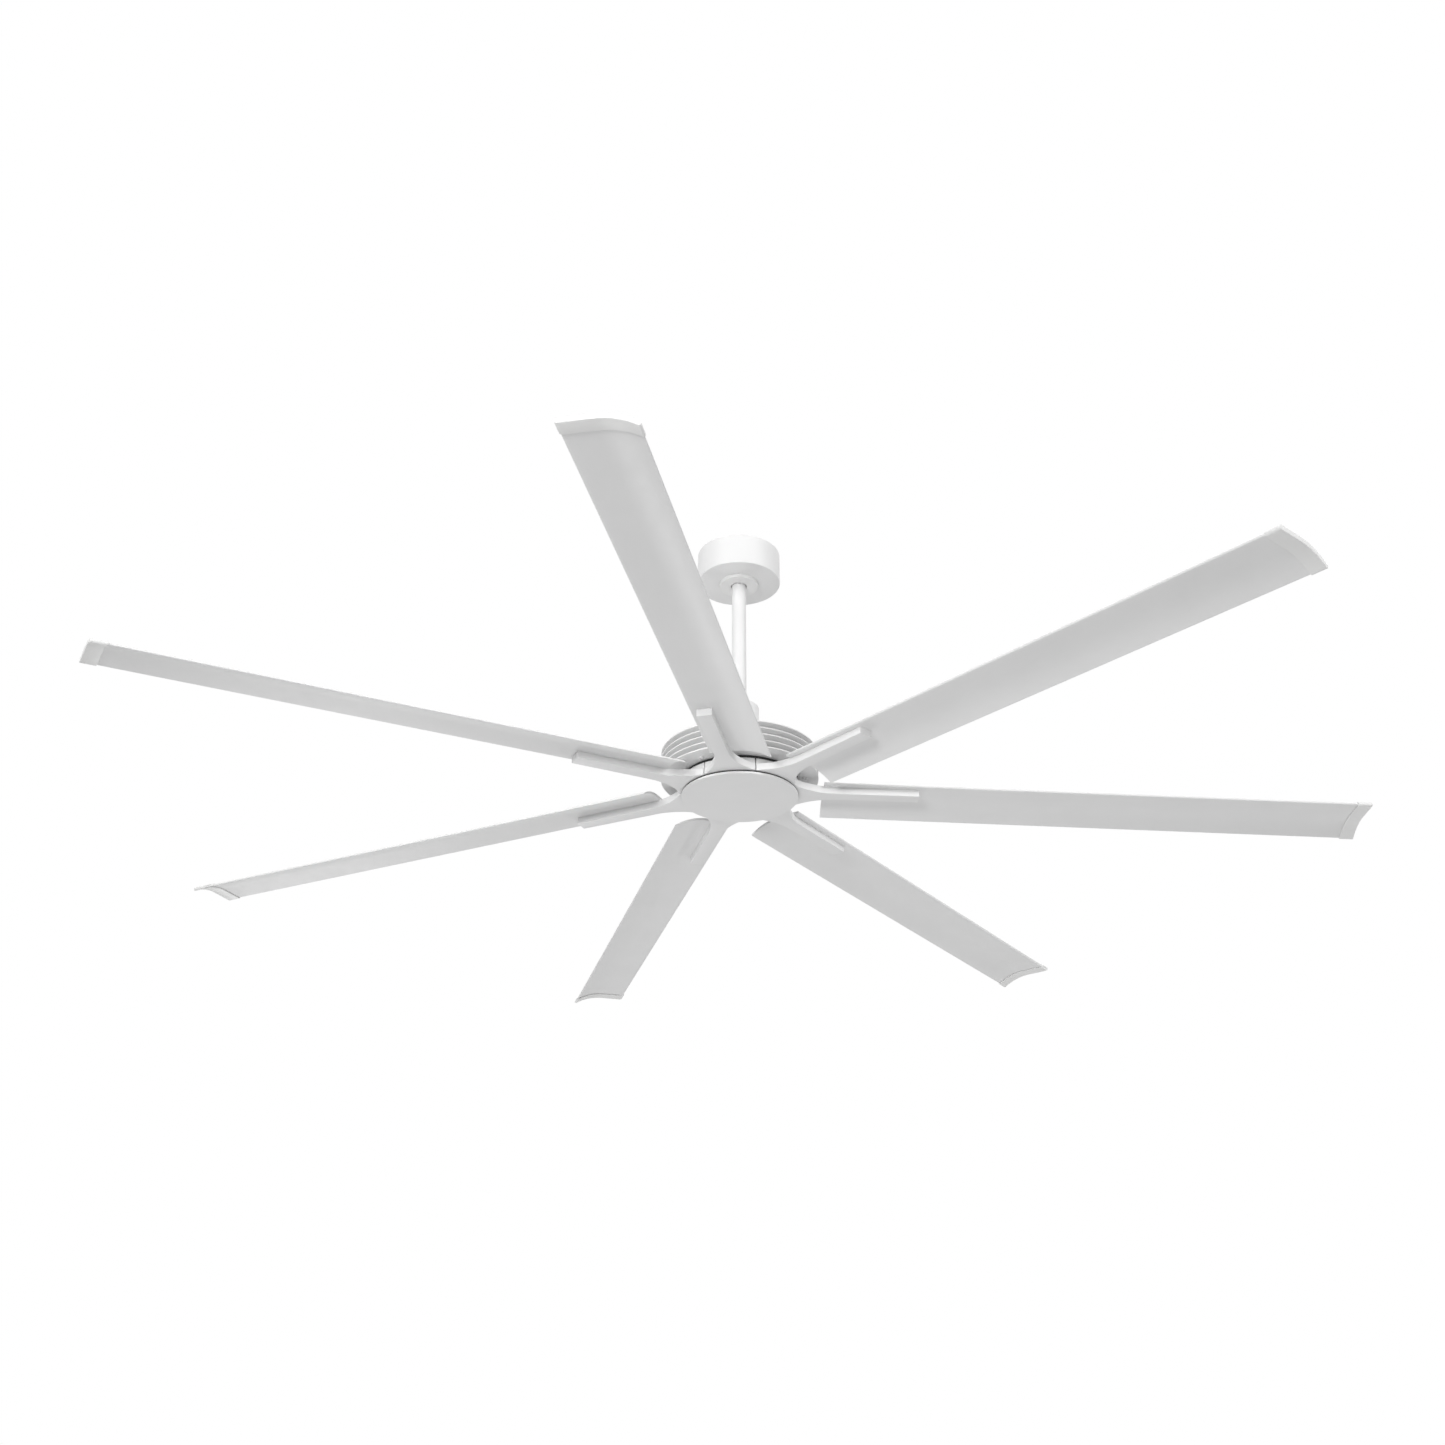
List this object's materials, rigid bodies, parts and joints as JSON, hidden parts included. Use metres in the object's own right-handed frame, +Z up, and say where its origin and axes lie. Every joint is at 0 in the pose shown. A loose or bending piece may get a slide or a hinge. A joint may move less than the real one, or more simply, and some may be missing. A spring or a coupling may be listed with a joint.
{
  "type": "ceiling fan",
  "caption": "Ceiling fan with long curved blades on flat cast arms, a finned motor housing and a short downrod that hangs from a ball hanger under a round canopy.",
  "frame": {"origin": "on the fan axis in the ceiling plane, at the centre of the slot pattern in the hanger bracket's top face", "axes": "+Z up into the ceiling along the fan axis, +X along the line of the two ceiling slots, +Y towards the receiver side; the blades turn about Z"},
  "size_m": [2.0779, 2.0969, 0.5024],
  "materials": {
    "white_powder_coat": "matte",
    "white_blade_coat": "satin",
    "white_plastic": "matte",
    "white_screw_paint": "satin",
    "black_flange_paint": "matte",
    "zinc_steel": "satin",
    "bearing_steel": "polished",
    "lamination_steel": "matte",
    "magnet_ferrite": "matte",
    "copper_wire": "satin",
    "black_nylon": "matte",
    "grey_potting_case": "matte"
  },
  "bodies": {
    "ceiling_mount": {"hanger_bracket": "zinc_steel", "canopy": "white_powder_coat", "canopy_trim": "white_plastic", "canopy_screws": "zinc_steel", "receiver_module": "grey_potting_case", "receiver_screws": "zinc_steel"},
    "hanging_frame": {"hanger_ball": "black_nylon", "ball_pin": "zinc_steel", "ball_set_screw": "zinc_steel", "downrod": "white_powder_coat", "motor_yoke": "white_powder_coat", "yoke_bolts": "zinc_steel", "rod_pin": "zinc_steel", "rod_pin_clip": "zinc_steel", "yoke_set_screws": "zinc_steel", "coupling_cover": "white_powder_coat", "motor_housing": "white_powder_coat", "housing_bottom_plate": "white_powder_coat", "plate_screws": "white_screw_paint", "stator_core": "lamination_steel", "stator_coils": "copper_wire", "lower_bearing_outer_race": "bearing_steel", "lower_bearing_balls": "bearing_steel", "upper_bearing_outer_race": "bearing_steel", "upper_bearing_balls": "bearing_steel"},
    "rotor": {"motor_shaft": "bearing_steel", "rotor_drum": "lamination_steel", "rotor_magnets": "magnet_ferrite", "rotor_flange": "black_flange_paint", "shaft_nut": "zinc_steel", "bracket_bolts": "zinc_steel", "blade_screws": "white_screw_paint", "cover_disc": "white_powder_coat", "cover_seal": "black_nylon", "lower_bearing_inner_race": "bearing_steel", "upper_bearing_inner_race": "bearing_steel", "blade_bracket_1": "white_powder_coat", "blade_1": "white_blade_coat", "tip_cap_1": "white_plastic", "blade_bracket_2": "white_powder_coat", "blade_2": "white_blade_coat", "tip_cap_2": "white_plastic", "blade_bracket_3": "white_powder_coat", "blade_3": "white_blade_coat", "tip_cap_3": "white_plastic", "blade_bracket_4": "white_powder_coat", "blade_4": "white_blade_coat", "tip_cap_4": "white_plastic", "blade_bracket_5": "white_powder_coat", "blade_5": "white_blade_coat", "tip_cap_5": "white_plastic", "blade_bracket_6": "white_powder_coat", "blade_6": "white_blade_coat", "tip_cap_6": "white_plastic", "blade_bracket_7": "white_powder_coat", "blade_7": "white_blade_coat", "tip_cap_7": "white_plastic"}
  },
  "joints": [
    {"name": "hanger_swing", "type": "hinge", "parent": "ceiling_mount", "child": "hanging_frame", "pos_m": [0, 0, -0.0305], "axis": [1, 0, 0], "range_deg": [-2, 2]},
    {"name": "rotor_spin", "type": "hinge", "parent": "hanging_frame", "child": "rotor", "pos_m": [0, 0, -0.44], "axis": [0, 0, 1], "continuous": true}
  ]
}
